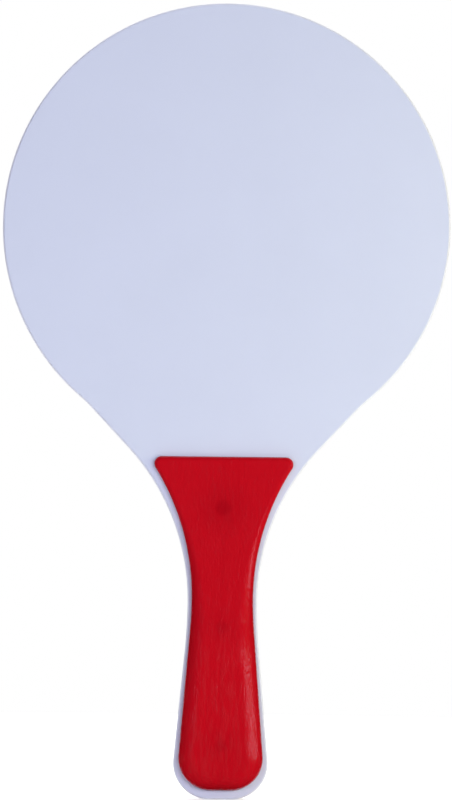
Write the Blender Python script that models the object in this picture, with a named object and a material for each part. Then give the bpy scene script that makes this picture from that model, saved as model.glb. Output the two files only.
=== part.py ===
"""Beach paddle: a faced fibreboard board with a hollow moulded grip pinned to each side of its handle.

The paddle stands on its butt end. +Z runs up the handle to the round head, -Y is the front face and
+X is the right side seen from the front. The origin is the centre of the middle grip pin.
"""

import math

import bmesh
import bpy
from mathutils import Vector

# Board
HEAD_DIAMETER = 0.185
HANDLE_REACH = 0.144          # from the lowest point of the head's circle to the butt end
BOARD_THICKNESS = 0.006       # over both facings
CORE_EASE = 0.0005            # rounding of the core's edges
FACING_THICKNESS = 0.0004
FACING_EASE = 0.0002          # rounding of a facing's outer edge
FACING_INSET = 0.0006         # rim of the core that shows round a facing
GLUE_LINE = 0.0001            # between the core and each facing
NECK_SPREAD = math.radians(40.2)   # from the head's lowest point to where the neck leaves its circle
NECK_FILLET = 0.060
BOARD_WAIST_WIDTH = 0.0287
BOARD_WAIST_FROM_BUTT = 0.0815   # height of the narrowest place
BOARD_UPPER_RADIUS = 0.0928   # hollow side above the waist
BOARD_LOWER_RADIUS = 0.2107   # hollow side below it
BOARD_BUTT_WIDTH = 0.0392
BOARD_BUTT_CORNER = 0.0150

# Grip shells
GRIP_LENGTH = 0.138
GRIP_BUTT_MARGIN = 0.0037     # board showing past the grip's butt end
GRIP_BUTT_SIDE_MARGIN = 0.0021
GRIP_WAIST_MARGIN = 0.0016
GRIP_WAIST_RISE = 0.0017      # above the board's waist
GRIP_UPPER_RADIUS = 0.1007
GRIP_LOWER_RADIUS = 0.1591
GRIP_BUTT_CORNER = 0.0135
GRIP_TOP_CORNER = 0.0031
GRIP_HEIGHT = 0.0080          # crown of the hand section, above the seat
LIP_HEIGHT = 0.0028           # crown at the flared top edge
LIP_LENGTH = 0.0083           # level stretch below the top edge
RAMP_LENGTH = 0.078           # S-shaped rise from the lip to the hand section
SIDE_WALL = 0.0010            # upright wall between the seat and the edge's roundover
SHELL_WALL = 0.0015
LEAST_INNER_ROUND = 0.0002
SEAT_GAP = 0.0003

# Ribs, bosses and pins
RIB_THICKNESS = 0.0012
RIB_SETBACK = 0.0004          # the rim and the bosses bear on the board, the ribs stop short of it
BOSS_WALL = 0.0012
TOP_PIN_MARGIN = 0.0212       # from the grip's top edge to the upper pin
BUTT_PIN_MARGIN = 0.0188      # from the grip's butt end to the lower pin
PIN_DIAMETER = 0.0040
PIN_CHAMFER = 0.0004
PIN_FIT = 0.0003              # clearance round a pin and at each of its ends
BORE_SKIN = 0.0012            # plastic left between a bore's end and the crown

# Facets
CHORD_ERROR = 0.00005
STRAIGHT_STEP = 0.006         # between a grip's points along its straight taper
SAME_POINT = 0.000001
ROUNDOVER_STEPS = 7
EASE_SEGMENTS = 2
PIN_SEGMENTS = 24
SMOOTH_ANGLE = math.radians(35)
CUT_MARGIN = 0.001            # how far a cutter runs past what it cuts

HEAD_RADIUS = HEAD_DIAMETER / 2
PIN_SPACING = (GRIP_LENGTH - TOP_PIN_MARGIN - BUTT_PIN_MARGIN) / 2
BUTT_Z = -(GRIP_BUTT_MARGIN + BUTT_PIN_MARGIN + PIN_SPACING)
HEAD_CENTRE = Vector((0, BUTT_Z + HANDLE_REACH + HEAD_RADIUS))
BOARD_WAIST_Z = BUTT_Z + BOARD_WAIST_FROM_BUTT
GRIP_BUTT_Z = BUTT_Z + GRIP_BUTT_MARGIN
GRIP_TOP_Z = GRIP_BUTT_Z + GRIP_LENGTH
PIN_STATIONS = {"upper": PIN_SPACING, "middle": 0.0, "lower": -PIN_SPACING}
BORE_DIAMETER = PIN_DIAMETER + 2 * PIN_FIT
BOSS_DIAMETER = BORE_DIAMETER + 2 * BOSS_WALL
CORE_THICKNESS = BOARD_THICKNESS - 2 * (FACING_THICKNESS + GLUE_LINE)
SEAT_Y = BOARD_THICKNESS / 2 + SEAT_GAP


def material(name, colour, roughness):
    """A Principled material of one colour."""
    made = bpy.data.materials.new(name)
    made.use_nodes = True
    shader = made.node_tree.nodes["Principled BSDF"]
    shader.inputs["Base Color"].default_value = (*colour, 1)
    shader.inputs["Roughness"].default_value = roughness
    return made


def direction(angle):
    """Flat unit vector, counter-clockwise from +X."""
    return Vector((math.cos(angle), math.sin(angle)))


def angle_of(vector):
    """Angle of a flat vector, counter-clockwise from +X."""
    return math.atan2(vector.y, vector.x)


def shared_normal(first, second):
    """Angle of the outward normal on the line that touches two circles one after the other.

    A circle is a centre and a radius, which is negative where the outline is hollow. The ratio is
    rounded because circles that touch each other give 1 only to single precision.
    """
    between = second[0] - first[0]
    ratio = round((first[1] - second[1]) / between.length, 6)
    return math.remainder(angle_of(between) + math.acos(ratio), math.tau)


def outline(circles, straight_step=math.inf):
    """Points of a closed outline, clockwise from the top, each with the outward normal there.

    The right side runs round the circles in turn, with straight lines between them, and the left side
    mirrors it.
    """
    turns = [math.pi / 2]
    turns += [shared_normal(*pair) for pair in zip(circles, circles[1:])]
    turns.append(-math.pi / 2)
    right = []
    for (centre, radius), start, end in zip(circles, turns, turns[1:]):
        first = centre + radius * direction(start)
        if right:
            last = right[-1][0]
            pieces = math.ceil((first - last).length / straight_step)
            for piece in range(1, pieces):
                right.append((last.lerp(first, piece / pieces), direction(start)))
        widest = 2 * math.acos(1 - CHORD_ERROR / abs(radius))
        steps = max(2, math.ceil(abs(end - start) / widest))
        for step in range(steps + 1):
            normal = direction(start + (end - start) * step / steps)
            right.append((centre + radius * normal, normal))
    left = [(Vector((-p.x, p.y)), Vector((-n.x, n.y))) for p, n in reversed(right)]
    closed = []
    for point, normal in right + left:
        if not closed or (point - closed[-1][0]).length > SAME_POINT:
            closed.append((point, normal))
    if (closed[0][0] - closed[-1][0]).length < SAME_POINT:
        closed.pop()
    return closed


def handle_circles(half_waist, waist_z, upper_radius, lower_radius, half_butt, butt_z, corner_radius):
    """Hollow waist of a handle, with unlike radii above and below, and its butt corner."""
    return [
        (Vector((half_waist + upper_radius, waist_z)), -upper_radius),
        (Vector((half_waist + lower_radius, waist_z)), -lower_radius),
        (Vector((half_butt - corner_radius, butt_z + corner_radius)), corner_radius),
    ]


def board_outline():
    """Round head, neck fillets, straight flanks and the waisted handle."""
    neck = HEAD_CENTRE + (HEAD_RADIUS + NECK_FILLET) * direction(NECK_SPREAD - math.pi / 2)
    handle = handle_circles(BOARD_WAIST_WIDTH / 2, BOARD_WAIST_Z, BOARD_UPPER_RADIUS,
                            BOARD_LOWER_RADIUS, BOARD_BUTT_WIDTH / 2, BUTT_Z, BOARD_BUTT_CORNER)
    return outline([(HEAD_CENTRE, HEAD_RADIUS), (neck, -NECK_FILLET)] + handle)


def grip_outline():
    """Straight top edge with rounded corners, then a waist and a butt a margin inside the board's."""
    handle = handle_circles(BOARD_WAIST_WIDTH / 2 - GRIP_WAIST_MARGIN, BOARD_WAIST_Z + GRIP_WAIST_RISE,
                            GRIP_UPPER_RADIUS, GRIP_LOWER_RADIUS,
                            BOARD_BUTT_WIDTH / 2 - GRIP_BUTT_SIDE_MARGIN, GRIP_BUTT_Z, GRIP_BUTT_CORNER)
    waist_centre = handle[0][0]
    corner_z = GRIP_TOP_Z - GRIP_TOP_CORNER
    apart = GRIP_UPPER_RADIUS + GRIP_TOP_CORNER
    corner_x = waist_centre.x - math.sqrt(apart ** 2 - (corner_z - waist_centre.y) ** 2)
    return outline([(Vector((corner_x, corner_z)), GRIP_TOP_CORNER)] + handle, STRAIGHT_STEP)


def grip_height(z):
    """Height of the grip's crown over its seat: a thin lip, an S-shaped ramp, then the level hand section."""
    down_ramp = min(max((GRIP_TOP_Z - LIP_LENGTH - z) / RAMP_LENGTH, 0.0), 1.0)
    return LIP_HEIGHT + (GRIP_HEIGHT - LIP_HEIGHT) * (1 - math.cos(math.pi * down_ramp)) / 2


def bore_depth(z):
    """Depth of a pin's blind bore, from the seat."""
    return grip_height(z) - BORE_SKIN


def new_mesh(name, bm, finish=None):
    """A mesh from a bmesh, with its faces pointing out, smooth with sharp corners kept."""
    bmesh.ops.recalc_face_normals(bm, faces=bm.faces)
    mesh = bpy.data.meshes.new(name)
    bm.to_mesh(mesh)
    bm.free()
    mesh.shade_smooth()
    mesh.set_sharp_from_angle(angle=SMOOTH_ANGLE)
    if finish:
        mesh.materials.append(finish)
    return mesh


def place(name, mesh, parent):
    """An object of the mesh, on its parent."""
    made = bpy.data.objects.new(name, mesh)
    bpy.context.collection.objects.link(made)
    made.parent = parent
    return made


def place_cutter(name, mesh, parent):
    """An object that only cuts others."""
    cutter = place(name, mesh, parent)
    cutter.hide_render = True
    cutter.display_type = "WIRE"
    return cutter


def cut(target, cutter):
    """Takes the cutter's shape out of the target."""
    modifier = target.modifiers.new(cutter.name, "BOOLEAN")
    modifier.operation = "DIFFERENCE"
    modifier.solver = "EXACT"
    modifier.object = cutter


def ring(bm, points):
    """Vertices at the points and the closed loop of edges through them."""
    verts = [bm.verts.new(point) for point in points]
    edges = [bm.edges.new((verts[i - 1], verts[i])) for i in range(len(verts))]
    return verts, edges


def sheet_mesh(name, near, far, inset, ease, finish):
    """A flat sheet inside the board's outline, from y = near to y = far.

    Its far edge is eased, and its near edge too where the sheet lies across y = 0.
    """
    bm = bmesh.new()
    verts, near_edges = ring(bm, [(p.x - inset * n.x, near, p.y - inset * n.y) for p, n in board_outline()])
    face = bm.faces.new(verts)
    lifted = bmesh.ops.extrude_face_region(bm, geom=[face])["geom"]
    far_verts = [item for item in lifted if isinstance(item, bmesh.types.BMVert)]
    eased = [item for item in lifted if isinstance(item, bmesh.types.BMEdge)]
    bmesh.ops.translate(bm, verts=far_verts, vec=(0, far - near, 0))
    if near < 0:
        eased += near_edges
    bm.normal_update()
    bmesh.ops.bevel(bm, geom=eased, offset=ease, segments=EASE_SEGMENTS, profile=0.5,
                    affect="EDGES", offset_type="OFFSET", material=-1)
    return new_mesh(name, bm, finish)


def grip_form_mesh(name, wall, foot, finish=None):
    """Loft of rings over the grip's roundover, closed by its crown: its outside, or the form wall inside it.

    Heights run along -Y from the seat. The roundover's radius follows the crown's height, so it grows
    from the lip to the hand section.
    """
    points = grip_outline()
    heights = []
    for point, normal in points:
        reach = grip_height(point.y) - SIDE_WALL
        heights.append(grip_height(point.y - reach * normal.y))
    rings = [[(p - wall * n, foot) for p, n in points]]
    for step in range(ROUNDOVER_STEPS + 1):
        turn = math.pi / 2 * step / ROUNDOVER_STEPS
        level = []
        for (point, normal), height in zip(points, heights):
            radius = max(height - SIDE_WALL - wall, LEAST_INNER_ROUND)
            inset = wall + radius * (1 - math.cos(turn))
            level.append((point - inset * normal, height - wall - radius * (1 - math.sin(turn))))
        rings.append(level)
    bm = bmesh.new()
    loops = [ring(bm, [(p.x, -height, p.y) for p, height in level]) for level in rings]
    for (_, lower), (_, upper) in zip(loops, loops[1:]):
        bmesh.ops.bridge_loops(bm, edges=lower + upper)
    bm.faces.new(loops[0][0])
    crown = loops[-1][0]
    for i in range(len(crown) // 2 - 1):
        bm.faces.new((crown[i], crown[i + 1], crown[-2 - i], crown[-1 - i]))
    return new_mesh(name, bm, finish)


def boxes_mesh(name, boxes):
    """Upright boxes, each given by its lowest and highest corner."""
    bm = bmesh.new()
    for low, high in boxes:
        cube = bmesh.ops.create_cube(bm, size=1)["verts"]
        bmesh.ops.scale(bm, verts=cube, vec=Vector(high) - Vector(low))
        bmesh.ops.translate(bm, verts=cube, vec=(Vector(high) + Vector(low)) / 2)
    return new_mesh(name, bm)


def rods_mesh(name, diameter, rods, finish=None, chamfer=0.0):
    """Round rods along Y, each given by its height z and its two ends."""
    bm = bmesh.new()
    for z, start, end in rods:
        rod = bmesh.ops.create_cone(bm, cap_ends=True, segments=PIN_SEGMENTS, radius1=diameter / 2,
                                    radius2=diameter / 2, depth=end - start)["verts"]
        for vert in rod:
            vert.co = Vector((vert.co.x, vert.co.z + (start + end) / 2, z - vert.co.y))
    if chamfer:
        bm.normal_update()
        rims = [edge for edge in bm.edges if edge.calc_face_angle() > SMOOTH_ANGLE]
        bmesh.ops.bevel(bm, geom=rims, offset=chamfer, segments=1, profile=0.5, affect="EDGES",
                        offset_type="OFFSET", material=-1)
    return new_mesh(name, bm, finish)


def make_board(parent):
    """The core and its two facings, drilled together for the pins."""
    edge_paint = material("grey_edge_paint", (0.55, 0.56, 0.60), 0.5)
    facing = material("white_facing", (0.62, 0.67, 0.84), 0.35)
    half_core = CORE_THICKNESS / 2
    core_mesh = sheet_mesh("board_core", -half_core, half_core, 0.0, CORE_EASE, edge_paint)
    core = place("board_core", core_mesh, parent)
    sheet = sheet_mesh("face_sheet", 0.0, FACING_THICKNESS, FACING_INSET, FACING_EASE, facing)
    rear = place("rear_face_sheet", sheet, parent)
    rear.location.y = half_core + GLUE_LINE
    front = place("front_face_sheet", sheet, parent)
    front.location.y = -rear.location.y
    front.rotation_euler.z = math.pi
    reach = BOARD_THICKNESS / 2 + CUT_MARGIN
    holes = rods_mesh("pin_holes", BORE_DIAMETER, [(z, -reach, reach) for z in PIN_STATIONS.values()])
    drill = place_cutter("pin_holes", holes, parent)
    for layer in (core, front, rear):
        cut(layer, drill)


def make_grip_shells(parent, plastic):
    """Both grip shells, alike: a hollow form with a centre rib, cross ribs, bosses and blind bores."""
    form = grip_form_mesh("grip_shell", 0.0, 0.0, plastic)
    stations = PIN_STATIONS.values()
    past_crown = -(GRIP_HEIGHT + CUT_MARGIN)
    half_rib = RIB_THICKNESS / 2
    cutters = {
        "cavity": grip_form_mesh("cavity", SHELL_WALL, -CUT_MARGIN),
        "centre_rib": boxes_mesh("centre_rib", [((-half_rib, past_crown, GRIP_BUTT_Z),
                                                 (half_rib, -RIB_SETBACK, GRIP_TOP_Z))]),
        "cross_ribs": boxes_mesh("cross_ribs", [((-HEAD_RADIUS, past_crown, z - half_rib),
                                                 (HEAD_RADIUS, -RIB_SETBACK, z + half_rib))
                                                for z in stations]),
        "bosses": rods_mesh("bosses", BOSS_DIAMETER, [(z, past_crown, 2 * CUT_MARGIN) for z in stations]),
        "bores": rods_mesh("bores", BORE_DIAMETER, [(z, -bore_depth(z), CUT_MARGIN) for z in stations]),
    }
    for side, turn in (("front", 0.0), ("rear", math.pi)):
        shell = place(side + "_grip_shell", form, parent)
        placed = {name: place_cutter(side + "_" + name, mesh, shell) for name, mesh in cutters.items()}
        for kept in ("centre_rib", "cross_ribs", "bosses"):
            cut(placed["cavity"], placed[kept])
        cut(shell, placed["cavity"])
        cut(shell, placed["bores"])
        shell.rotation_euler.z = turn
        shell.location.y = -SEAT_Y * math.cos(turn)


def make_pins(parent, plastic):
    """A pin at each station, as long as the board and both bores less its fit."""
    for station, z in PIN_STATIONS.items():
        name = station + "_grip_pin"
        reach = SEAT_Y + bore_depth(z) - PIN_FIT
        pin = place(name, rods_mesh(name, PIN_DIAMETER, [(0, -reach, reach)], plastic, PIN_CHAMFER), parent)
        pin.location.z = z


def main():
    for old in list(bpy.data.objects):
        bpy.data.objects.remove(old)
    paddle = bpy.data.objects.new("paddle", None)
    bpy.context.collection.objects.link(paddle)
    plastic = material("red_plastic", (0.50, 0.005, 0.010), 0.3)
    make_board(paddle)
    make_grip_shells(paddle, plastic)
    make_pins(paddle, plastic)


main()
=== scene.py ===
"""Beach paddle: a faced fibreboard board with a moulded red grip half on each side of its handle.

Laid out as an add-on. Each operator models one piece, or a group of like pieces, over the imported
frame. The paddle stands on its butt end: +Z runs up the handle to the head, and -Y is the front
face.
"""

import math

import bmesh
import bpy
from bpy.props import FloatProperty, FloatVectorProperty, PointerProperty
from mathutils import Matrix, Vector


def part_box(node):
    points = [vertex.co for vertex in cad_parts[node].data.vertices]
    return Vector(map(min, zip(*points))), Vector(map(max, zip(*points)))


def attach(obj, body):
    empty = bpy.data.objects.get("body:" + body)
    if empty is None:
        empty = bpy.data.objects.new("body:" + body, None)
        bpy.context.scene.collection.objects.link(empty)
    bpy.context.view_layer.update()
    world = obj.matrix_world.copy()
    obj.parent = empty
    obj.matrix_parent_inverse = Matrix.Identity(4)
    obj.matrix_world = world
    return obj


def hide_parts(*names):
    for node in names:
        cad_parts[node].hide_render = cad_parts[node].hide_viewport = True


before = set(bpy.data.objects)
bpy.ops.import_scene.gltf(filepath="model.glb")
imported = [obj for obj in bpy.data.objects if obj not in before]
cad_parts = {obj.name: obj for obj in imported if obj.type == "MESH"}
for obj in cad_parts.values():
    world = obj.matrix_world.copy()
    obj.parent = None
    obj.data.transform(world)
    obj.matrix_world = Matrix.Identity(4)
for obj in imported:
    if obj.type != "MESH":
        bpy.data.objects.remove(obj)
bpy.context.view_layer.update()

bl_info = {
    "name": "Beach Paddle",
    "version": (1, 0, 0),
    "blender": (4, 5, 0),
    "location": "View3D > Sidebar > Paddle",
    "description": "Models a round beach paddle with a moulded grip, and a studio to see it in",
    "category": "Add Mesh",
}

CORE_LOW, CORE_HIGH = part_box("board_core")
FACING_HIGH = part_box("rear_face_sheet")[1]
GRIP_LOW, GRIP_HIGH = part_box("rear_grip_shell")
PIN_NODES = ("upper_grip_pin", "middle_grip_pin", "lower_grip_pin")
PIN_LEVELS = [sum(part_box(node), Vector()).z / 2 for node in PIN_NODES]

# Shapes, in metres
SAME_POINT = 1e-6
BOARD_SPACING = 0.0015        # between points round the board's outline
GRIP_SPACING = 0.0010         # between points round the grip's outline
LEAST_ARC_PIECES = 8
EASE_PIECES = 4
ROUNDOVER_PIECES = 14
FOOT_PIECES = 2
TURN_PIECES = 40              # round a bore or a boss
RIB_CUTS = 16
RIB_ROOT = 0.0003             # how far ribs and bosses reach into the wall
GLUE_LINE = 0.00003           # left between pieces that are glued face to face
FOOT_DROP = GRIP_LOW.y - FACING_HIGH.y - GLUE_LINE   # from the frame's shell to the glue line
CROWN_LAND = 0.0004           # flat strip of the crown inside its roundover
CREASE = math.radians(35)

# Finishes. A grain is the stretch of its broad and of its fine noise, and the fine one's share of
# the relief. A relief is the strength and the depth of a bump.
GRAIN = "surface_grain"
BROAD_DETAIL = 3
FINE_DETAIL = 2
MIX_SOCKETS = {"FLOAT": (2, 3, 0), "RGBA": (6, 7, 2)}   # first value, second value and result
TONE_SPAN = (0.3, 0.7)        # of the broad noise, over which the roughness changes
SATIN_FACING = {              # faint clouding and fine orange peel
    "grain": ((28, 28, 28), (850, 850, 850), 1.0), "tones": (0.975, 1.02),
    "roughness": (0.36, 0.44), "relief": (0.12, 0.00002)}
PAINTED_EDGE = {              # grey paint that softens the fibreboard's layers and fibres
    "grain": ((160, 2200, 160), (900, 1600, 900), 0.4), "tones": (0.90, 1.06),
    "roughness": (0.62, 0.48), "relief": (0.35, 0.00006)}
PLASTIC_GRAIN = ((1100, 1100, 150), (1300, 1300, 450), 0.5)
PLASTIC_RELIEF = (0.60, 0.00044)
STREAK_SPAN = (0.42, 0.58)    # of the broad noise, from the glossiest streaks to the dullest
GLOSSY_STREAK = 0.05
DULL_STREAK = (0.19, 0.12)    # in the hand section, and on the ramp above it
DULL_LEVELS = (-0.025, 0.020)   # between which the one turns into the other

# Painted shade of the bosses and ribs that show dark through the grip's translucent wall. A fade is
# how far out a shade has gone, and where it is full.
BOSS_PAINTED_SHADES = ((0.70, 1.25), (0.42, 1.0), (0.40, 1.0))   # how dark and wide, from the upper one down
BOSS_FADE = (0.0046, 0.0012)
HALO_FADE = (0.0120, 0.0030)
HALO_SHARE = 0.35             # of its boss's shade
CENTRE_RIB_FADE = (0.0014, 0.0003)
CENTRE_RIB_SHADE = 0.10
CROSS_RIB_FADE = (0.0013, 0.0003)
CROSS_RIB_SHADE = 0.14
ARM_FADE = (0.0105, 0.0040)   # along a cross rib
ARM_END = 0.25                # share of a cross rib's shade that is left at its end

# Studio
WHITE = (1, 1, 1, 1)
ROOM_COLOUR = (0.92, 0.94, 1.0, 1)
ROOM_STRENGTH = 0.10
FLOOR_SIDES = 96
CLIP_END = 100
LAMP_AIM = Vector((0, 0, 0.08))
LAMPS = (   # name, azimuth and elevation, distance, size, glow, colour, mirrored in the gloss
    ("right_box", (62, 1), 0.62, (0.42, 0.28), 3.3, (1.0, 0.96, 0.42), False),
    ("front_box", (24, 4), 1.50, (0.9, 0.4), 10.2, (0.80, 0.825, 1.0), False),
    ("left_box", (-30, 4), 1.50, (0.9, 0.4), 5.8, (0.77, 0.73, 1.0), False),
    ("over_box", (180, 79), 1.20, (1.0, 0.7), 3.9, (0.96, 1.0, 0.99), False),
    ("rear_box", (195, 38), 1.20, (1.2, 0.8), 3.1, (0.98, 0.98, 1.0), True),
    ("side_box", (57.5, -6.2), 1.00, (1.15, 0.072), 1.9, (0.90, 0.82, 1.0), True),
)


class PaddleBoard(bpy.types.PropertyGroup):
    """Sizes of the board and its two facings."""

    head_radius: FloatProperty(
        name="Head radius", description="Half the width of the round head",
        default=(CORE_HIGH.x - CORE_LOW.x) / 2, unit="LENGTH", precision=4)
    neck_spread: FloatProperty(
        name="Neck spread",
        description="From the head's lowest point to where the neck leaves its circle",
        default=math.radians(40.2), subtype="ANGLE")
    neck_fillet: FloatProperty(
        name="Neck fillet", description="Hollow radius between the head and the neck",
        default=0.060, unit="LENGTH")
    waist_width: FloatProperty(
        name="Waist width", description="Width at the narrowest place of the handle",
        default=0.0287, unit="LENGTH", precision=4)
    waist_rise: FloatProperty(
        name="Waist height", description="From the butt end to the narrowest place",
        default=0.0815, unit="LENGTH", precision=4)
    upper_radius: FloatProperty(
        name="Upper hollow", description="Radius of the handle's side above the waist",
        default=0.0928, unit="LENGTH", precision=4)
    lower_radius: FloatProperty(
        name="Lower hollow", description="Radius of the handle's side below the waist",
        default=0.2107, unit="LENGTH", precision=4)
    butt_width: FloatProperty(
        name="Butt width", description="Width of the handle at its butt end",
        default=0.0392, unit="LENGTH", precision=4)
    butt_corner: FloatProperty(
        name="Butt corner", description="Radius of the two butt corners",
        default=0.0150, unit="LENGTH", precision=4)
    core_ease: FloatProperty(
        name="Core easing", description="Rounding of the core's edges",
        default=0.0005, unit="LENGTH", precision=5)
    facing_inset: FloatProperty(
        name="Facing inset", description="Rim of the core that shows round a facing",
        default=0.0006, unit="LENGTH", precision=5)
    facing_ease: FloatProperty(
        name="Facing easing", description="Rounding of a facing's outer edge",
        default=0.0001, unit="LENGTH", precision=5)


class PaddleGrip(bpy.types.PropertyGroup):
    """Sizes of the two grip shells, which are one moulding used twice."""

    waist_margin: FloatProperty(
        name="Waist margin", description="Board showing beside the grip at the waist",
        default=0.0016, unit="LENGTH", precision=4)
    waist_rise: FloatProperty(
        name="Waist rise", description="The grip's narrowest place, above the board's",
        default=0.0017, unit="LENGTH", precision=4)
    upper_radius: FloatProperty(
        name="Upper hollow", description="Radius of the grip's side above its waist",
        default=0.1007, unit="LENGTH", precision=4)
    lower_radius: FloatProperty(
        name="Lower hollow", description="Radius of the grip's side below its waist",
        default=0.1591, unit="LENGTH", precision=4)
    butt_margin: FloatProperty(
        name="Butt margin", description="Board showing beside the grip at its butt",
        default=0.0021, unit="LENGTH", precision=4)
    butt_corner: FloatProperty(
        name="Butt corner", description="Radius of the two butt corners",
        default=0.0135, unit="LENGTH", precision=4)
    top_corner: FloatProperty(
        name="Top corner", description="Radius of the two flared top corners",
        default=0.0031, unit="LENGTH", precision=4)
    lip_height: FloatProperty(
        name="Lip height", description="Crown over the seat at the flared top edge",
        default=0.0028, unit="LENGTH", precision=4)
    lip_length: FloatProperty(
        name="Lip length", description="Level stretch below the top edge",
        default=0.0083, unit="LENGTH", precision=4)
    ramp_length: FloatProperty(
        name="Ramp length", description="S-shaped rise from the lip to the hand section",
        default=0.078, unit="LENGTH")
    side_wall: FloatProperty(
        name="Side wall", description="Upright wall below the edge's roundover",
        default=0.0010, unit="LENGTH", precision=4)
    foot_ease: FloatProperty(
        name="Foot easing", description="Rounding of the edge that meets the board",
        default=0.00015, unit="LENGTH", precision=5)
    shell_wall: FloatProperty(
        name="Wall", description="Thickness of the moulding",
        default=0.0015, unit="LENGTH", precision=4)
    rib_thickness: FloatProperty(
        name="Rib thickness", description="Of the centre rib and the cross ribs inside",
        default=0.0012, unit="LENGTH", precision=4)
    rib_setback: FloatProperty(
        name="Rib setback", description="How far the ribs stop short of the board",
        default=0.0004, unit="LENGTH", precision=4)
    boss_diameter: FloatProperty(
        name="Boss", description="Outside of the three pin bosses",
        default=0.0070, unit="LENGTH", precision=4)
    bore_diameter: FloatProperty(
        name="Pin bore", description="Bore of the bosses and of the board",
        default=0.0046, unit="LENGTH", precision=4)


class PaddleFinish(bpy.types.PropertyGroup):
    """Colours of the paddle."""

    facing_colour: FloatVectorProperty(
        name="Facing", description="Bluish white film on both faces",
        default=(0.640, 0.685, 0.795), subtype="COLOR", min=0, max=1)
    edge_colour: FloatVectorProperty(
        name="Edge", description="Pale grey paint round the board",
        default=(0.80, 0.81, 0.86), subtype="COLOR", min=0, max=1)
    plastic_colour: FloatVectorProperty(
        name="Plastic", description="Translucent red of the grip",
        default=(0.50, 0.0034, 0.0100), subtype="COLOR", min=0, max=1)
    # Painted shade: the darker red where a boss or a rib, seen through the wall, stops the light
    shaded_plastic_colour: FloatVectorProperty(
        name="Plastic over a boss", description="The red where a boss or a rib backs it",
        default=(0.33, 0.001, 0.006), subtype="COLOR", min=0, max=1)


class PaddleStudio(bpy.types.PropertyGroup):
    """Camera and floor of the studio."""

    distance: FloatProperty(
        name="Camera distance", description="From the camera to the board",
        default=3.0, unit="LENGTH")
    frame_height: FloatProperty(
        name="Frame height", description="Height of the picture where the board stands",
        default=0.3309, unit="LENGTH", precision=4)
    aim: FloatVectorProperty(
        name="Aim", description="What the middle of the picture shows",
        default=(0.00056, 0.0, 0.0936), subtype="TRANSLATION", unit="LENGTH", precision=4)
    roll: FloatProperty(
        name="Roll", description="Lean of the camera, which leans the paddle the other way",
        default=math.radians(0.667), subtype="ANGLE")
    floor_radius: FloatProperty(
        name="Floor radius", description="Of the round floor", default=0.8, unit="LENGTH")
    floor_colour: FloatVectorProperty(
        name="Floor", description="Pale matt floor",
        default=(0.88, 0.88, 0.88), subtype="COLOR", min=0, max=1)
    floor_lift: FloatProperty(
        name="Floor lift",
        description="Added to the floor for the camera, so that it ends in white", default=0.56)


# Outlines

def only_verts(geom):
    """The vertices among an operator's results."""
    return [item for item in geom if isinstance(item, bmesh.types.BMVert)]


def only_edges(geom):
    """The edges among an operator's results."""
    return [item for item in geom if isinstance(item, bmesh.types.BMEdge)]


def direction(angle):
    """Unit vector in the board's plane, turned from +X towards +Z."""
    return Vector((math.cos(angle), 0, math.sin(angle)))


def touching_normal(first, second):
    """Angle of the outward normal on the line that touches two circles one after the other."""
    between = second[0] - first[0]
    ratio = round((first[1] - second[1]) / between.length, 6)
    return math.remainder(math.atan2(between.z, between.x) + math.acos(ratio), math.tau)


def run_straight(bm, vert, end, spacing):
    """Extrudes a vertex to a point, in equal pieces."""
    pieces = math.ceil((end - vert.co).length / spacing)
    stride = (end - vert.co) / pieces
    for _ in range(pieces):
        vert = bmesh.ops.extrude_vert_indiv(bm, verts=[vert])["verts"][0]
        bmesh.ops.translate(bm, verts=[vert], vec=stride)
    return vert


def run_round(bm, vert, centre, turn, spacing):
    """Spins a vertex round a centre in the board's plane, in equal pieces."""
    pieces = max(LEAST_ARC_PIECES, math.ceil((vert.co - centre).length * abs(turn) / spacing))
    made = bmesh.ops.spin(bm, geom=[vert], cent=centre, axis=(0, -1, 0), angle=turn, steps=pieces)
    return only_verts(made["geom_last"])[0]


def outline_face(circles, spacing):
    """A bmesh with one flat face at y = 0 inside an outline round the circles.

    The right side runs round each circle in turn, with straight lines between, and is then
    mirrored. A circle is a centre and a radius, negative where the side is hollow.
    """
    turns = [math.pi / 2]
    turns += [touching_normal(*pair) for pair in zip(circles, circles[1:])]
    turns.append(-math.pi / 2)
    bm = bmesh.new()
    vert = bm.verts.new(circles[0][0] + circles[0][1] * direction(turns[0]))
    for (centre, radius), start, end in zip(circles, turns, turns[1:]):
        first = centre + radius * direction(start)
        if (first - vert.co).length > SAME_POINT:
            vert = run_straight(bm, vert, first, spacing)
        vert = run_round(bm, vert, centre, end - start, spacing)
    bmesh.ops.mirror(bm, geom=bm.verts[:] + bm.edges[:], axis="X", merge_dist=SAME_POINT)
    ends = [vert for vert in bm.verts if len(vert.link_edges) == 1]
    ends.sort(key=lambda vert: vert.co.z)
    for pair in zip(ends[::2], ends[1::2]):
        bm.edges.new(pair)
    bmesh.ops.contextual_create(bm, geom=bm.edges[:])
    return bm


def handle_circles(half_waist, waist_z, upper_radius, lower_radius, half_butt, butt_z, corner):
    """Circles of a waisted handle: the hollows above and below its waist, and the butt corner."""
    return [
        (Vector((half_waist + upper_radius, 0, waist_z)), -upper_radius),
        (Vector((half_waist + lower_radius, 0, waist_z)), -lower_radius),
        (Vector((half_butt - corner, 0, butt_z + corner)), corner),
    ]


def board_circles(board, inset):
    """Circles of the board's outline, or of one an inset inside it."""
    head = Vector((0, 0, CORE_HIGH.z - board.head_radius))
    reach = board.head_radius + board.neck_fillet
    neck = head + reach * direction(board.neck_spread - math.pi / 2)
    handle = handle_circles(board.waist_width / 2, CORE_LOW.z + board.waist_rise,
                            board.upper_radius, board.lower_radius, board.butt_width / 2,
                            CORE_LOW.z, board.butt_corner)
    circles = [(head, board.head_radius), (neck, -board.neck_fillet)] + handle
    return [(centre, radius - inset) for centre, radius in circles]


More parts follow.
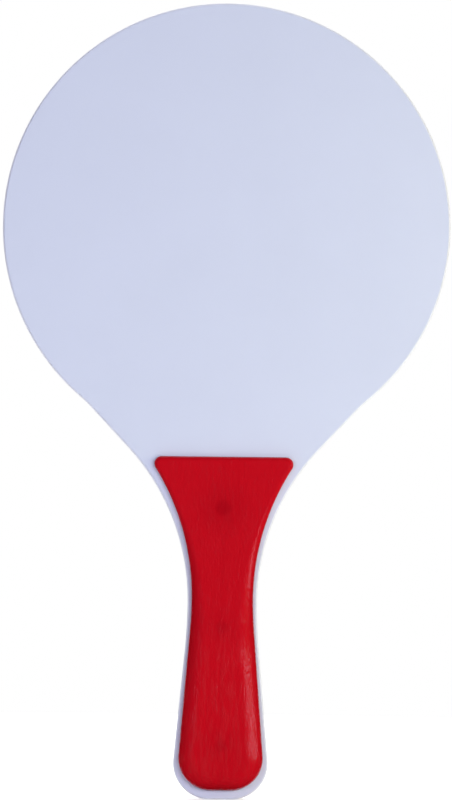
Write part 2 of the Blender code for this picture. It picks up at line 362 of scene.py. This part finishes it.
def grip_circles(board, grip):
    """Circles of the grip's outline, from its flared top corner to its butt corner."""
    handle = handle_circles(board.waist_width / 2 - grip.waist_margin,
                            CORE_LOW.z + board.waist_rise + grip.waist_rise, grip.upper_radius,
                            grip.lower_radius, board.butt_width / 2 - grip.butt_margin, GRIP_LOW.z,
                            grip.butt_corner)
    waist = handle[0][0]
    corner_z = GRIP_HIGH.z - grip.top_corner
    apart = grip.upper_radius + grip.top_corner
    corner_x = waist.x - math.sqrt(apart ** 2 - (corner_z - waist.z) ** 2)
    return [(Vector((corner_x, 0, corner_z)), grip.top_corner)] + handle


# Pieces

def finished_mesh(name, bm, crisp=()):
    """A mesh with its faces pointing out, smooth except at creases and at the crisp edges."""
    bmesh.ops.recalc_face_normals(bm, faces=bm.faces)
    for edge in bm.edges:
        edge.smooth = edge.calc_face_angle(0) < CREASE
    for edge in crisp:
        edge.smooth = False
    for face in bm.faces:
        face.smooth = True
    mesh = bpy.data.meshes.new(name)
    bm.to_mesh(mesh)
    bm.free()
    return mesh


def add_piece(name, mesh, finish, node):
    """Puts a piece in the scene in place of a node of the frame."""
    piece = bpy.data.objects.new(name, mesh)
    bpy.context.scene.collection.objects.link(piece)
    mesh.materials.append(finish)
    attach(piece, "root")
    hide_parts(node)
    return piece


def bored_sheet(name, circles, near, far, ease, both_eased, bore_diameter):
    """A sheet inside the circles' outline, from y = near to y = far, with its pin holes."""
    bm = outline_face(circles, BOARD_SPACING)
    bmesh.ops.translate(bm, verts=bm.verts, vec=(0, near, 0))
    eased = bm.edges[:] if both_eased else []
    lifted = bmesh.ops.extrude_face_region(bm, geom=bm.faces[:])["geom"]
    bmesh.ops.translate(bm, verts=only_verts(lifted), vec=(0, far - near, 0))
    bm.normal_update()
    bmesh.ops.bevel(bm, geom=eased + only_edges(lifted), offset=ease, segments=EASE_PIECES,
                    profile=0.5, affect="EDGES", offset_type="OFFSET", material=-1)
    crisp = []
    mouths = {level: [] for level in PIN_LEVELS}
    for flat in sorted(bm.faces, key=lambda face: face.calc_area())[-2:]:
        rim = flat.edges[:]
        y = flat.verts[0].co.y
        bmesh.ops.delete(bm, geom=[flat], context="FACES_ONLY")
        crisp += rim
        for level in PIN_LEVELS:
            place = Matrix.Translation((0, y, level)) @ Matrix.Rotation(math.pi / 2, 4, "X")
            mouth = bmesh.ops.create_circle(bm, segments=TURN_PIECES, radius=bore_diameter / 2,
                                            matrix=place)["verts"]
            mouths[level] += dict.fromkeys(edge for vert in mouth for edge in vert.link_edges)
            rim += mouths[level][-TURN_PIECES:]
        bmesh.ops.triangle_fill(bm, use_beauty=True, edges=rim)
    for level in PIN_LEVELS:
        bmesh.ops.bridge_loops(bm, edges=mouths[level])
    return finished_mesh(name, bm, crisp)


def crown_height(grip, z):
    """Height of the crown over the seat: thin lip, S-shaped ramp, then the level hand section."""
    down = min(max((GRIP_HIGH.z - grip.lip_length - z) / grip.ramp_length, 0.0), 1.0)
    full = GRIP_HIGH.y - GRIP_LOW.y
    return grip.lip_height + (full - grip.lip_height) * (1 - math.cos(math.pi * down)) / 2


def ring_edges(bm, ring):
    """The edges of a closed ring of vertices."""
    return [bm.edges.get(pair) for pair in zip(ring, ring[1:] + ring[:1])]


def raised_ring(bm, ring, places):
    """Extrudes a closed ring of vertices to new places; the new ring is in the same order."""
    made = bmesh.ops.extrude_edge_only(bm, edges=ring_edges(bm, ring))["geom"]
    fresh = set(only_verts(made))
    raised = []
    for vert, place in zip(ring, places):
        ends = (edge.other_vert(vert) for edge in vert.link_edges)
        new = next(end for end in ends if end in fresh)
        new.co = place
        raised.append(new)
    return raised


def grip_skin(board, grip):
    """The front shell's outside as one open surface, and its foot ring."""
    bm = outline_face(grip_circles(board, grip), GRIP_SPACING)
    bm.faces.ensure_lookup_table()
    corners = list(bm.faces[0].loops)
    foot = [corner.vert for corner in corners]
    points = [vert.co.copy() for vert in foot]
    inward = [corner.calc_tangent() for corner in corners]
    rounds = []
    for point, way in zip(points, inward):
        reach = crown_height(grip, point.z) - grip.side_wall
        rounds.append(crown_height(grip, point.z + reach * way.z) - grip.side_wall)
    bmesh.ops.delete(bm, geom=bm.faces[:], context="FACES_ONLY")

    levels = []
    for step in range(FOOT_PIECES + 1):
        turn = math.pi / 2 * step / FOOT_PIECES
        ease = grip.foot_ease
        rise = ease * (1 - math.cos(turn)) - FOOT_DROP
        levels.append([(ease * (1 - math.sin(turn)), rise)] * len(foot))
    for step in range(ROUNDOVER_PIECES + 1):
        turn = math.pi / 2 * step / ROUNDOVER_PIECES
        levels.append([(r * (1 - math.cos(turn)), grip.side_wall + r * math.sin(turn))
                       for r in rounds])
    levels.append([(r + CROWN_LAND, crown_height(grip, point.z + (r + CROWN_LAND) * way.z))
                   for point, way, r in zip(points, inward, rounds)])
    ring = foot
    for level in levels:
        places = [point + inset * way - Vector((0, GRIP_LOW.y + rise, 0))
                  for point, way, (inset, rise) in zip(points, inward, level)]
        if level is levels[0]:
            for vert, place in zip(foot, places):
                vert.co = place
        else:
            ring = raised_ring(bm, ring, places)
    flanks = [edge for edge in ring_edges(bm, ring) if edge.verts[0].co.x * edge.verts[1].co.x > 0]
    bmesh.ops.bridge_loops(bm, edges=flanks)
    return bm, foot


def inside_height(grip, z, depth):
    """Height of the shell's inside over the seat, a depth in from the edge of its outline."""
    outer = crown_height(grip, z) - grip.side_wall
    inner = outer - grip.shell_wall
    short = max(outer - depth, 0.0)
    return grip.side_wall + math.sqrt(max(inner ** 2 - short ** 2, 0.0))


def join(bm, other):
    """Adds another bmesh's geometry to a bmesh."""
    carrier = bpy.data.meshes.new("carrier")
    other.to_mesh(carrier)
    other.free()
    bm.from_mesh(carrier)
    bpy.data.meshes.remove(carrier)


def rib(grip, low, high, depth_at):
    """A rib inside the shell, from the setback over the board to just inside the wall."""
    bm = bmesh.new()
    bmesh.ops.create_cube(bm, size=1)
    bmesh.ops.scale(bm, verts=bm.verts, vec=high - low)
    bmesh.ops.translate(bm, verts=bm.verts, vec=(high + low) / 2)
    longest = max(edge.calc_length() for edge in bm.edges)
    long_edges = [edge for edge in bm.edges if edge.calc_length() > longest - SAME_POINT]
    bmesh.ops.subdivide_edges(bm, edges=long_edges, cuts=RIB_CUTS, use_grid_fill=True)
    for vert in bm.verts:
        if vert.co.y < (low.y + high.y) / 2:
            rise = inside_height(grip, vert.co.z, depth_at(vert.co)) + RIB_ROOT
            vert.co.y = -(GRIP_LOW.y + rise)
    return bm


def add_boss(bm, grip, level):
    """A tube round a pin, from the seat to just inside the wall."""
    seat = GRIP_LOW.y - FOOT_DROP
    tip = GRIP_LOW.y + inside_height(grip, level, GRIP_HIGH.z) + RIB_ROOT
    corners = [(grip.bore_diameter / 2, seat), (grip.boss_diameter / 2, seat),
               (grip.boss_diameter / 2, tip), (grip.bore_diameter / 2, tip)]
    verts = [bm.verts.new((x, -y, level)) for x, y in corners]
    edges = [bm.edges.new((verts[i - 1], verts[i])) for i in range(len(verts))]
    bmesh.ops.spin(bm, geom=verts + edges, cent=(0, 0, level), axis=(0, 1, 0), angle=math.tau,
                   steps=TURN_PIECES, use_merge=True)


def grip_shell(board, grip):
    """The front shell: the outside given its wall, then the ribs between bosses, and the bosses."""
    bm, foot = grip_skin(board, grip)
    half_widths = [max(abs(vert.co.x) for vert in foot if abs(vert.co.z - level) < GRIP_SPACING)
                   for level in PIN_LEVELS]
    bmesh.ops.recalc_face_normals(bm, faces=bm.faces)
    bmesh.ops.solidify(bm, geom=bm.faces[:], thickness=grip.shell_wall)
    half_rib = grip.rib_thickness / 2
    wall = grip.shell_wall
    base = -(GRIP_LOW.y + grip.rib_setback)
    top = -GRIP_HIGH.y
    stop = grip.boss_diameter / 2 - RIB_ROOT
    ends = [GRIP_LOW.z + wall - RIB_ROOT, GRIP_HIGH.z - wall + RIB_ROOT]
    for level in PIN_LEVELS:
        ends += [level - stop, level + stop]
    ends.sort()
    for low, high in zip(ends[::2], ends[1::2]):
        join(bm, rib(grip, Vector((-half_rib, top, low)), Vector((half_rib, base, high)),
                     lambda place: min(place.z - GRIP_LOW.z, GRIP_HIGH.z - place.z)))
    for level, half in zip(PIN_LEVELS, half_widths):
        reach = half - wall + RIB_ROOT
        for left, right in ((-reach, -stop), (stop, reach)):
            join(bm, rib(grip, Vector((left, top, level - half_rib)),
                         Vector((right, base, level + half_rib)),
                         lambda place, half=half: half - abs(place.x)))
        add_boss(bm, grip, level)
    return bm


# Finishes

def add_node(tree, kind, settings=None, inputs=None):
    """A shader node with its settings; another node's output is linked, other inputs are set."""
    node = tree.nodes.new("ShaderNode" + kind)
    for name, value in (settings or {}).items():
        setattr(node, name, value)
    for name, value in (inputs or {}).items():
        if isinstance(value, bpy.types.NodeSocket):
            tree.links.new(value, node.inputs[name])
        else:
            node.inputs[name].default_value = value
    return node


def reckon(tree, operation, *values):
    """Output of a Math node on the values."""
    return add_node(tree, "Math", {"operation": operation}, dict(enumerate(values))).outputs[0]


def ramped(tree, value, low, high, to_low=0.0, to_high=1.0):
    """Output of a smooth Map Range node."""
    inputs = {"Value": value, "From Min": low, "From Max": high, "To Min": to_low,
              "To Max": to_high}
    settings = {"interpolation_type": "SMOOTHSTEP"}
    return add_node(tree, "MapRange", settings, inputs).outputs["Result"]


def blend(tree, kind, share, first, second):
    """Output of a Mix node between two values, or between two colours with their alpha."""
    first_socket, second_socket, result = MIX_SOCKETS[kind]
    inputs = {0: share, first_socket: first, second_socket: second}
    return add_node(tree, "Mix", {"data_type": kind}, inputs).outputs[result]


def stretched_noise(tree, place, stretch, detail):
    """Noise over a place, with its periods set by how far each axis is stretched."""
    scaled = add_node(tree, "Mapping", None, {"Vector": place, "Scale": stretch}).outputs["Vector"]
    inputs = {"Vector": scaled, "Scale": 1.0, "Detail": detail}
    return add_node(tree, "TexNoise", None, inputs).outputs["Fac"]


def new_group(name, inputs, outputs):
    """A shader node group with value outputs: its tree, inputs, sink and the Object place."""
    tree = bpy.data.node_groups.new(name, "ShaderNodeTree")
    for title, kind in inputs.items():
        tree.interface.new_socket(name=title, in_out="INPUT", socket_type="NodeSocket" + kind)
    for title in outputs:
        tree.interface.new_socket(name=title, in_out="OUTPUT", socket_type="NodeSocketFloat")
    given = tree.nodes.new("NodeGroupInput").outputs
    sink = tree.nodes.new("NodeGroupOutput").inputs
    return tree, given, sink, add_node(tree, "TexCoord").outputs["Object"]


def surface_grain():
    """The group all finishes share, built once: a broad noise, and its relief with a fine one."""
    if GRAIN in bpy.data.node_groups:
        return bpy.data.node_groups[GRAIN]
    inputs = {"Broad Stretch": "Vector", "Fine Stretch": "Vector", "Fine Share": "Float"}
    tree, given, sink, place = new_group(GRAIN, inputs, ("Broad", "Height"))
    broad = stretched_noise(tree, place, given["Broad Stretch"], BROAD_DETAIL)
    fine = stretched_noise(tree, place, given["Fine Stretch"], FINE_DETAIL)
    tree.links.new(broad, sink["Broad"])
    tree.links.new(blend(tree, "FLOAT", given["Fine Share"], broad, fine), sink["Height"])
    return tree


def moulding_marks():
    """Painted shade of the bosses and ribs that show dark through the red plastic's translucent
    wall.
    """
    tree, _, sink, place = new_group("moulding_marks", {}, ("Shade",))
    axes = add_node(tree, "SeparateXYZ", None, {"Vector": place}).outputs
    across = reckon(tree, "ABSOLUTE", axes["X"])
    shade = ramped(tree, across, *CENTRE_RIB_FADE, 0.0, CENTRE_RIB_SHADE)
    for level, (depth, spread) in zip(PIN_LEVELS, BOSS_PAINTED_SHADES):
        up = reckon(tree, "ABSOLUTE", reckon(tree, "SUBTRACT", axes["Z"], level))
        away = reckon(tree, "SQRT", reckon(tree, "ADD", reckon(tree, "MULTIPLY", across, across),
                                           reckon(tree, "MULTIPLY", up, up)))
        boss = ramped(tree, away, *(edge * spread for edge in BOSS_FADE), 0.0, depth)
        halo = ramped(tree, away, *(edge * spread for edge in HALO_FADE), 0.0, HALO_SHARE * depth)
        cross_rib = ramped(tree, up, *CROSS_RIB_FADE, 0.0, CROSS_RIB_SHADE)
        arm = reckon(tree, "MULTIPLY", cross_rib, ramped(tree, across, *ARM_FADE, ARM_END))
        painted_mark = reckon(tree, "MAXIMUM", reckon(tree, "MAXIMUM", boss, halo), arm)
        shade = reckon(tree, "MAXIMUM", shade, painted_mark)
    tree.links.new(shade, sink["Shade"])
    return tree


def new_finish(name, broad, fine, fine_share):
    """A material with its tree, its Principled shader, and the outputs of its own grain."""
    made = bpy.data.materials.new(name)
    made.use_nodes = True
    tree = made.node_tree
    values = {"Broad Stretch": broad, "Fine Stretch": fine, "Fine Share": fine_share}
    grain = add_node(tree, "Group", {"node_tree": surface_grain()}, values).outputs
    return made, tree, tree.nodes["Principled BSDF"], grain


def add_bump(tree, shader, height, strength, distance):
    """Raises the surface by a height."""
    inputs = {"Height": height, "Strength": strength, "Distance": distance}
    tree.links.new(add_node(tree, "Bump", None, inputs).outputs["Normal"], shader.inputs["Normal"])


def shaded(colour, share):
    """A colour made lighter or darker by a share, with its alpha."""
    return (*(min(part * share, 1.0) for part in colour), 1)


def toned_finish(name, colour, grain, tones, roughness, relief):
    """A material whose colour and roughness follow the broad noise, with the grain's relief."""
    made, tree, shader, noise = new_finish(name, *grain)
    toned = blend(tree, "RGBA", noise["Broad"], *(shaded(colour, tone) for tone in tones))
    tree.links.new(toned, shader.inputs["Base Color"])
    rough = ramped(tree, noise["Broad"], *TONE_SPAN, *roughness)
    tree.links.new(rough, shader.inputs["Roughness"])
    add_bump(tree, shader, noise["Height"], *relief)
    return made


def plastic_finish(colours):
    """Glossy, slightly translucent red plastic with lengthwise streaks, and painted shade where its
    bosses and ribs show through the wall.

    Its dull streaks are duller in the hand section than on the ramp above it.
    """
    made, tree, shader, noise = new_finish("moulded_red", *PLASTIC_GRAIN)
    # Painted shade where the bosses and ribs show through the translucent wall
    painted_shades = add_node(tree, "Group", {"node_tree": moulding_marks()}).outputs
    colour = blend(tree, "RGBA", painted_shades["Shade"], (*colours.plastic_colour, 1),
                   (*colours.shaded_plastic_colour, 1))
    tree.links.new(colour, shader.inputs["Base Color"])
    place = add_node(tree, "TexCoord").outputs["Object"]
    up = add_node(tree, "SeparateXYZ", None, {"Vector": place}).outputs["Z"]
    dull = ramped(tree, up, *DULL_LEVELS, *DULL_STREAK)
    rough = ramped(tree, noise["Broad"], *STREAK_SPAN, GLOSSY_STREAK, dull)
    tree.links.new(rough, shader.inputs["Roughness"])
    add_bump(tree, shader, noise["Height"], *PLASTIC_RELIEF)
    return made


# Operators

class PADDLE_OT_board(bpy.types.Operator):
    """Model the fibreboard core: round head, flared neck and waisted handle in one piece"""

    bl_idname = "paddle.board"
    bl_label = "Board core"

    def execute(self, context):
        board = context.scene.paddle_board
        grip = context.scene.paddle_grip
        colour = context.scene.paddle_finish.edge_colour
        mesh = bored_sheet("fibreboard_core", board_circles(board, 0.0), CORE_LOW.y, CORE_HIGH.y,
                           board.core_ease, True, grip.bore_diameter)
        add_piece("fibreboard_core", mesh, toned_finish("painted_edge", colour, **PAINTED_EDGE),
                  "board_core")
        return {"FINISHED"}


class PADDLE_OT_facings(bpy.types.Operator):
    """Model the film on the front and on the back of the board"""

    bl_idname = "paddle.facings"
    bl_label = "Facings"

    def execute(self, context):
        board = context.scene.paddle_board
        grip = context.scene.paddle_grip
        colour = context.scene.paddle_finish.facing_colour
        finish = toned_finish("satin_facing", colour, **SATIN_FACING)
        circles = board_circles(board, board.facing_inset)
        for side, way in (("front", -1), ("rear", 1)):
            name = side + "_facing"
            mesh = bored_sheet(name, circles, way * (CORE_HIGH.y + GLUE_LINE), way * FACING_HIGH.y,
                               board.facing_ease, False, grip.bore_diameter)
            add_piece(name, mesh, finish, side + "_face_sheet")
        return {"FINISHED"}


class PADDLE_OT_grips(bpy.types.Operator):
    """Model both grip shells, and give the pins inside them the same plastic"""

    bl_idname = "paddle.grips"
    bl_label = "Grip shells and pins"

    def execute(self, context):
        finish = plastic_finish(context.scene.paddle_finish)
        for side, turn in (("front", 0.0), ("rear", math.pi)):
            bm = grip_shell(context.scene.paddle_board, context.scene.paddle_grip)
            bmesh.ops.rotate(bm, verts=bm.verts, cent=(0, 0, 0),
                             matrix=Matrix.Rotation(turn, 3, "Z"))
            name = side + "_grip"
            add_piece(name, finished_mesh(name, bm), finish, side + "_grip_shell")
        for node in PIN_NODES:
            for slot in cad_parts[node].material_slots:
                slot.material = finish
        return {"FINISHED"}


class PADDLE_OT_studio(bpy.types.Operator):
    """Set up the pale floor, the soft light and the camera"""

    bl_idname = "paddle.studio"
    bl_label = "Studio"

    def execute(self, context):
        studio = context.scene.paddle_studio
        add_floor(studio)
        add_lights(context.scene)
        add_world(context.scene)
        add_camera(context.scene, studio)
        context.scene.view_settings.view_transform = "Standard"
        return {"FINISHED"}


def add_floor(studio):
    """A round matt floor under the butt end, lifted to white for the camera, shadow kept."""
    bm = bmesh.new()
    bmesh.ops.create_circle(bm, cap_ends=True, segments=FLOOR_SIDES, radius=studio.floor_radius)
    bmesh.ops.translate(bm, verts=bm.verts, vec=(0, 0, CORE_LOW.z))
    mesh = bpy.data.meshes.new("floor")
    bm.to_mesh(mesh)
    bm.free()
    floor = bpy.data.objects.new("floor", mesh)
    floor.visible_glossy = False
    bpy.context.scene.collection.objects.link(floor)
    made = bpy.data.materials.new("pale_floor")
    made.use_nodes = True
    tree = made.node_tree
    matt = tree.nodes["Principled BSDF"]
    matt.inputs["Base Color"].default_value = (*studio.floor_colour, 1)
    matt.inputs["Roughness"].default_value = 1.0
    matt.inputs["Specular IOR Level"].default_value = 0.0
    matt.inputs["Emission Color"].default_value = WHITE
    seen = add_node(tree, "LightPath").outputs["Is Camera Ray"]
    lift = reckon(tree, "MULTIPLY", seen, studio.floor_lift)
    tree.links.new(lift, matt.inputs["Emission Strength"])
    mesh.materials.append(made)


def toward(azimuth, elevation):
    """Unit vector from the paddle; azimuth 0 is straight out of the front face, 90 to the right."""
    across, up = math.radians(azimuth), math.radians(elevation)
    return Vector((math.sin(across) * math.cos(up), -math.cos(across) * math.cos(up), math.sin(up)))


def add_lamp(scene, name, way, distance, size, glow, colour, mirrored):
    """A soft box of a given glow, aimed at the paddle, and whether the gloss mirrors it."""
    lamp = bpy.data.lights.new(name, "AREA")
    lamp.shape = "RECTANGLE"
    lamp.size, lamp.size_y = size
    lamp.energy = glow * math.pi * size[0] * size[1]
    lamp.color = colour
    box = bpy.data.objects.new(name, lamp)
    box.location = LAMP_AIM + distance * way
    box.rotation_euler = (-way).to_track_quat("-Z", "Y").to_euler()
    box.visible_camera = False
    box.visible_glossy = mirrored
    scene.collection.objects.link(box)


def add_lights(scene):
    """Three soft boxes round the front, one above, one behind, and a long low one at the right."""
    for name, (azimuth, elevation), distance, size, glow, colour, mirrored in LAMPS:
        add_lamp(scene, name, toward(azimuth, elevation), distance, size, glow, colour, mirrored)


def add_world(scene):
    """Weak light from all round that the gloss doesn't mirror, and white for the camera."""
    world = bpy.data.worlds.new("studio")
    scene.world = world
    world.cycles_visibility.glossy = False
    world.use_nodes = True
    tree = world.node_tree
    room = tree.nodes["Background"]
    room.inputs["Color"].default_value = ROOM_COLOUR
    room.inputs["Strength"].default_value = ROOM_STRENGTH
    white = add_node(tree, "Background", None, {"Color": WHITE, "Strength": 1.0})
    seen = add_node(tree, "LightPath").outputs["Is Camera Ray"]
    mixed = add_node(tree, "MixShader", None, {0: seen, 1: room.outputs[0], 2: white.outputs[0]})
    tree.links.new(mixed.outputs[0], tree.nodes["World Output"].inputs["Surface"])


def add_camera(scene, studio):
    """A long lens square to the front face."""
    lens = bpy.data.cameras.new("camera")
    lens.lens = lens.sensor_width * studio.distance / studio.frame_height
    lens.clip_end = CLIP_END
    camera = bpy.data.objects.new("camera", lens)
    camera.location = Vector(studio.aim) - Vector((0, studio.distance, 0))
    camera.rotation_euler = (math.pi / 2, -studio.roll, 0)
    scene.collection.objects.link(camera)
    scene.camera = camera


class PADDLE_PT_sidebar(bpy.types.Panel):
    """Sizes, colours and the operators, in the order they run"""

    bl_label = "Beach Paddle"
    bl_space_type = "VIEW_3D"
    bl_region_type = "UI"
    bl_category = "Paddle"

    def draw(self, context):
        scene = context.scene
        for settings in (getattr(scene, name) for name in SETTINGS):
            box = self.layout.box()
            for name in settings.bl_rna.properties.keys():
                if name not in ("rna_type", "name"):
                    box.prop(settings, name)
        for operator in OPERATORS:
            self.layout.operator(operator.bl_idname)


SETTINGS = {"paddle_board": PaddleBoard, "paddle_grip": PaddleGrip, "paddle_finish": PaddleFinish,
            "paddle_studio": PaddleStudio}
OPERATORS = (PADDLE_OT_board, PADDLE_OT_facings, PADDLE_OT_grips, PADDLE_OT_studio)


def register():
    for name, group in SETTINGS.items():
        bpy.utils.register_class(group)
        setattr(bpy.types.Scene, name, PointerProperty(type=group))
    for operator in OPERATORS:
        bpy.utils.register_class(operator)
    bpy.utils.register_class(PADDLE_PT_sidebar)


def unregister():
    bpy.utils.unregister_class(PADDLE_PT_sidebar)
    for operator in reversed(OPERATORS):
        bpy.utils.unregister_class(operator)
    for name, group in reversed(SETTINGS.items()):
        delattr(bpy.types.Scene, name)
        bpy.utils.unregister_class(group)


def main():
    register()
    bpy.ops.paddle.board()
    bpy.ops.paddle.facings()
    bpy.ops.paddle.grips()
    bpy.ops.paddle.studio()


if __name__ == "__main__":
    main()
